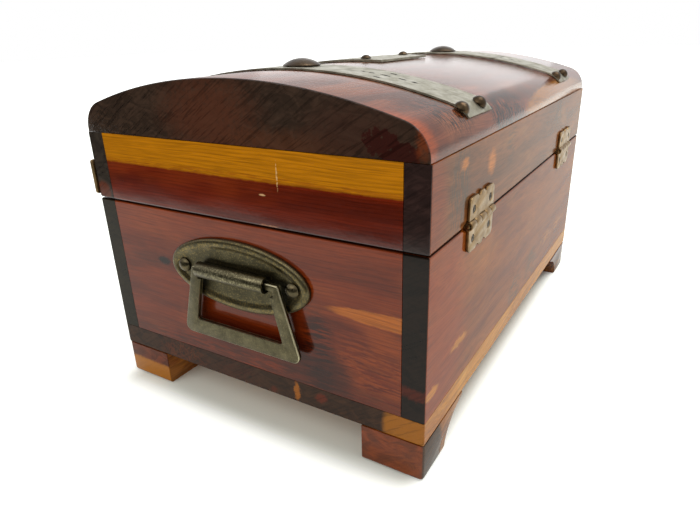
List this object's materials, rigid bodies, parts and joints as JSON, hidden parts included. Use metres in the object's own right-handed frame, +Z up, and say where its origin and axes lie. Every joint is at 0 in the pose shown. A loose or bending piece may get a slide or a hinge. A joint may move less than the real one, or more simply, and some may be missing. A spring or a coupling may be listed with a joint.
{
  "type": "treasure chest",
  "caption": "Small dome-topped wooden treasure chest with a hinged lid, metal straps, a front hasp and swinging bail handles on both ends.",
  "frame": {"origin": "middle of the bounding box at the level of the feet's undersides", "axes": "+Z up, +X along the chest towards its right end as seen from the front, -Y towards the front with the hasp, +Y towards the back with the hinges"},
  "size_m": [0.2252, 0.152, 0.1292],
  "materials": {
    "red_cedar": "gloss varnish",
    "dark_cedar": "gloss varnish",
    "gold_cedar": "gloss varnish",
    "hinge_brass": "antique satin",
    "handle_bronze": "antique satin",
    "dark_bronze": "antique",
    "strap_steel": "hammered"
  },
  "bodies": {
    "chest": {"back_board": "red_cedar", "bottom_board": "gold_cedar", "end_board_left": "red_cedar", "end_board_right": "red_cedar", "foot_back_left": "red_cedar", "foot_back_right": "red_cedar", "foot_front_left": "red_cedar", "foot_front_right": "red_cedar", "front_board": "red_cedar", "handle_plate_left": "handle_bronze", "handle_plate_right": "handle_bronze", "handle_rivet_left_back": "dark_bronze", "handle_rivet_left_front": "dark_bronze", "handle_rivet_right_back": "dark_bronze", "handle_rivet_right_front": "dark_bronze", "hasp_keeper": "strap_steel", "hinge_left_body_leaf": "hinge_brass", "hinge_left_body_nail_1": "dark_bronze", "hinge_left_body_nail_2": "dark_bronze", "hinge_left_pin": "hinge_brass", "hinge_right_body_leaf": "hinge_brass", "hinge_right_body_nail_1": "dark_bronze", "hinge_right_body_nail_2": "dark_bronze", "hinge_right_pin": "hinge_brass", "keeper_nail_1": "dark_bronze", "keeper_nail_2": "dark_bronze"},
    "lid": {"crest_stud_left": "dark_bronze", "crest_stud_right": "dark_bronze", "hasp_crest_nail_1": "dark_bronze", "hasp_crest_nail_2": "dark_bronze", "hasp_lower_nail_1": "dark_bronze", "hasp_lower_nail_2": "dark_bronze", "hasp_pin": "strap_steel", "hasp_plate": "strap_steel", "hinge_left_lid_leaf": "hinge_brass", "hinge_left_lid_nail_1": "dark_bronze", "hinge_left_lid_nail_2": "dark_bronze", "hinge_right_lid_leaf": "hinge_brass", "hinge_right_lid_nail_1": "dark_bronze", "hinge_right_lid_nail_2": "dark_bronze", "lid_back_rail": "red_cedar", "lid_corner_plate_left": "hinge_brass", "lid_corner_plate_right": "hinge_brass", "lid_end_rail_left": "red_cedar", "lid_end_rail_right": "red_cedar", "lid_front_rail": "red_cedar", "lid_top_board": "dark_cedar", "strap_left": "strap_steel", "strap_left_back_nail_1": "dark_bronze", "strap_left_back_nail_2": "dark_bronze", "strap_left_front_nail_1": "dark_bronze", "strap_left_front_nail_2": "dark_bronze", "strap_right": "strap_steel", "strap_right_back_nail_1": "dark_bronze", "strap_right_back_nail_2": "dark_bronze", "strap_right_front_nail_1": "dark_bronze", "strap_right_front_nail_2": "dark_bronze"},
    "bail_right": {"bail_right": "handle_bronze"},
    "bail_left": {"bail_left": "handle_bronze"},
    "hasp": {"hasp_tongue": "strap_steel"}
  },
  "joints": [
    {"name": "lid_hinge", "type": "hinge", "parent": "chest", "child": "lid", "pos_m": [0, 0.07455, 0.0797], "axis": [-1, 0, 0], "range_deg": [0, 110]},
    {"name": "bail_right_pivot", "type": "hinge", "parent": "chest", "child": "bail_right", "pos_m": [0.1098, 0.00395, 0.0607], "axis": [0, -1, 0], "range_deg": [-2, 150]},
    {"name": "bail_left_pivot", "type": "hinge", "parent": "chest", "child": "bail_left", "pos_m": [-0.1098, 0.00395, 0.0607], "axis": [0, 1, 0], "range_deg": [-2, 150]},
    {"name": "hasp_swing", "type": "hinge", "parent": "lid", "child": "hasp", "pos_m": [0, -0.06775, 0.1064], "axis": [-1, 0, 0], "range_deg": [0, 150]}
  ]
}
